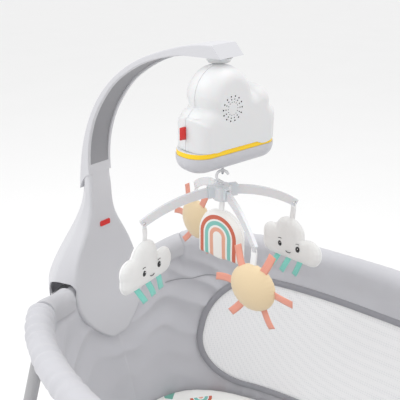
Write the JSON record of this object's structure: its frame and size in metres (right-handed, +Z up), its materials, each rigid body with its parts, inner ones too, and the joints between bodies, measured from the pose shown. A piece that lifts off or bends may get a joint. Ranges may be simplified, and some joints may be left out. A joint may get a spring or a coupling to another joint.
{
  "type": "swaying bassinet",
  "caption": "Rocking bassinet on two arched leg frames, with mesh sides, a padded rim and an overhead arm that carries a cloud soother and a turning mobile of soft toys.",
  "frame": {"origin": "on the floor, under the middle of the basket", "axes": "+X from the head end, where the arm stands, to the foot end; +Z up"},
  "size_m": [1.051, 0.5934, 1.04],
  "materials": {
    "leg_tube": "satin",
    "foot_cap": "matte",
    "steel": "satin",
    "housing": "matte",
    "arm": "matte",
    "arm_recess": "matte",
    "bush": "satin",
    "badge": "gloss",
    "wall_fabric": "woven",
    "mesh": "open mesh",
    "board": "hardboard",
    "mattress": "printed cotton",
    "rim_tube": "satin",
    "rim_pad": "padded",
    "sleeve": "matte",
    "knob": "matte",
    "soother_shell": "satin",
    "soother_base": "gloss",
    "light_band": "translucent",
    "speaker": "matte",
    "board_green": "solder mask",
    "cell": "satin",
    "motor": "satin",
    "tag": "ribbon",
    "button": "gloss",
    "hook_wire": "gloss",
    "mobile_plastic": "frosted",
    "cloud_plush": "plush",
    "ribbon_mint": "satin ribbon",
    "sun_satin": "satin",
    "ribbon_coral": "satin ribbon",
    "rainbow_plush": "plush"
  },
  "bodies": {
    "stand": {"head_leg_arch": "leg_tube", "foot_leg_arch": "leg_tube", "stretchers": "leg_tube", "foot_caps": "foot_cap", "stretcher_bolts": "steel", "head_hub": "housing", "foot_hub": "housing", "pivot_axles": "steel"},
    "basket": {"housing_front_shell": "housing", "housing_rear_shell": "housing", "foot_inner_cover": "housing", "foot_outer_cover": "housing", "axle_bushes": "bush", "badge_plate": "badge", "housing_screws": "steel", "basket_wall_head": "wall_fabric", "basket_wall_foot": "wall_fabric", "mesh_window_near": "mesh", "mesh_window_far": "mesh", "basket_floor": "wall_fabric", "floor_board": "board", "mattress_pad": "mattress", "rim_tube_head": "rim_tube", "rim_tube_foot": "rim_tube", "rim_pads": "rim_pad", "saddle_sleeves": "sleeve"},
    "sway_lock": {"sway_lock_knob": "knob"},
    "arm": {"arm_channel": "arm", "arm_inner_cover": "arm_recess", "dock_collar": "soother_shell"},
    "arm_release": {"release_button": "knob"},
    "soother": {"cloud_front_shell": "soother_shell", "cloud_back_shell": "soother_shell", "cloud_base": "soother_base", "light_band": "light_band", "speaker": "speaker", "circuit_board": "board_green", "battery_cells": "cell", "battery_door": "soother_shell", "gear_motor": "motor", "side_tag": "tag", "shell_screws": "steel"},
    "power": {"power_button": "button"},
    "music": {"music_button": "button"},
    "mobile": {"spindle": "steel", "hook": "hook_wire", "mobile_hub": "mobile_plastic", "mobile_arm_front": "mobile_plastic", "mobile_arm_right": "mobile_plastic", "mobile_arm_back": "mobile_plastic", "mobile_arm_left": "mobile_plastic"},
    "toy_left": {"cloud_toy_left": "cloud_plush", "rain_ribbons_left": "ribbon_mint"},
    "toy_right": {"cloud_toy_right": "cloud_plush", "rain_ribbons_right": "ribbon_mint"},
    "toy_front": {"sun_toy_front": "sun_satin", "sun_rays_front": "ribbon_coral"},
    "toy_back": {"sun_toy_back": "sun_satin", "sun_rays_back": "ribbon_coral"},
    "toy_middle": {"rainbow_toy": "rainbow_plush"}
  },
  "joints": [
    {"name": "basket_sway", "type": "hinge", "parent": "stand", "child": "basket", "pos_m": [0, 0, 0.605], "axis": [1, 0, 0], "range_deg": [-8, 8]},
    {"name": "sway_lock_push", "type": "slide", "parent": "basket", "child": "sway_lock", "axis": [-1, 0, 0], "range_m": [0, 0.0028]},
    {"name": "arm_lift", "type": "slide", "parent": "basket", "child": "arm", "axis": [0, 0, 1], "range_m": [0, 0.07]},
    {"name": "arm_release_push", "type": "slide", "parent": "basket", "child": "arm_release", "axis": [1, 0, 0], "range_m": [0, 0.003], "stiffness_N_per_m": 300},
    {"name": "soother_swivel", "type": "hinge", "parent": "arm", "child": "soother", "pos_m": [-0.172, 0, 1.018], "axis": [0, 0, 1], "range_deg": [-30, 30]},
    {"name": "power_push", "type": "slide", "parent": "soother", "child": "power", "axis": [0.9877, -0.1564, 0], "range_m": [0, 0.0015], "stiffness_N_per_m": 300},
    {"name": "music_push", "type": "slide", "parent": "soother", "child": "music", "axis": [0.9877, -0.1564, 0], "range_m": [0, 0.0015], "stiffness_N_per_m": 300},
    {"name": "mobile_spin", "type": "hinge", "parent": "soother", "child": "mobile", "pos_m": [-0.172, 0, 0.885], "axis": [0, 0, 1], "continuous": true},
    {"name": "toy_left_swing", "type": "hinge", "parent": "mobile", "child": "toy_left", "pos_m": [-0.22556, -0.08915, 0.8185], "axis": [-0.0872, 0.9962, 0], "range_deg": [-20, 20]},
    {"name": "toy_right_swing", "type": "hinge", "parent": "mobile", "child": "toy_right", "pos_m": [-0.11844, 0.08915, 0.8185], "axis": [0.9962, -0.0872, 0], "range_deg": [-20, 20]},
    {"name": "toy_front_swing", "type": "hinge", "parent": "mobile", "child": "toy_front", "pos_m": [-0.08285, -0.05356, 0.8185], "axis": [0.9986, 0.0523, 0], "range_deg": [-20, 20]},
    {"name": "toy_back_swing", "type": "hinge", "parent": "mobile", "child": "toy_back", "pos_m": [-0.26115, 0.05356, 0.8185], "axis": [0.9848, -0.1736, 0], "range_deg": [-20, 20]},
    {"name": "toy_middle_swing", "type": "hinge", "parent": "mobile", "child": "toy_middle", "pos_m": [-0.172, 0, 0.8445], "axis": [1, 0, 0], "range_deg": [-12, 12]}
  ]
}
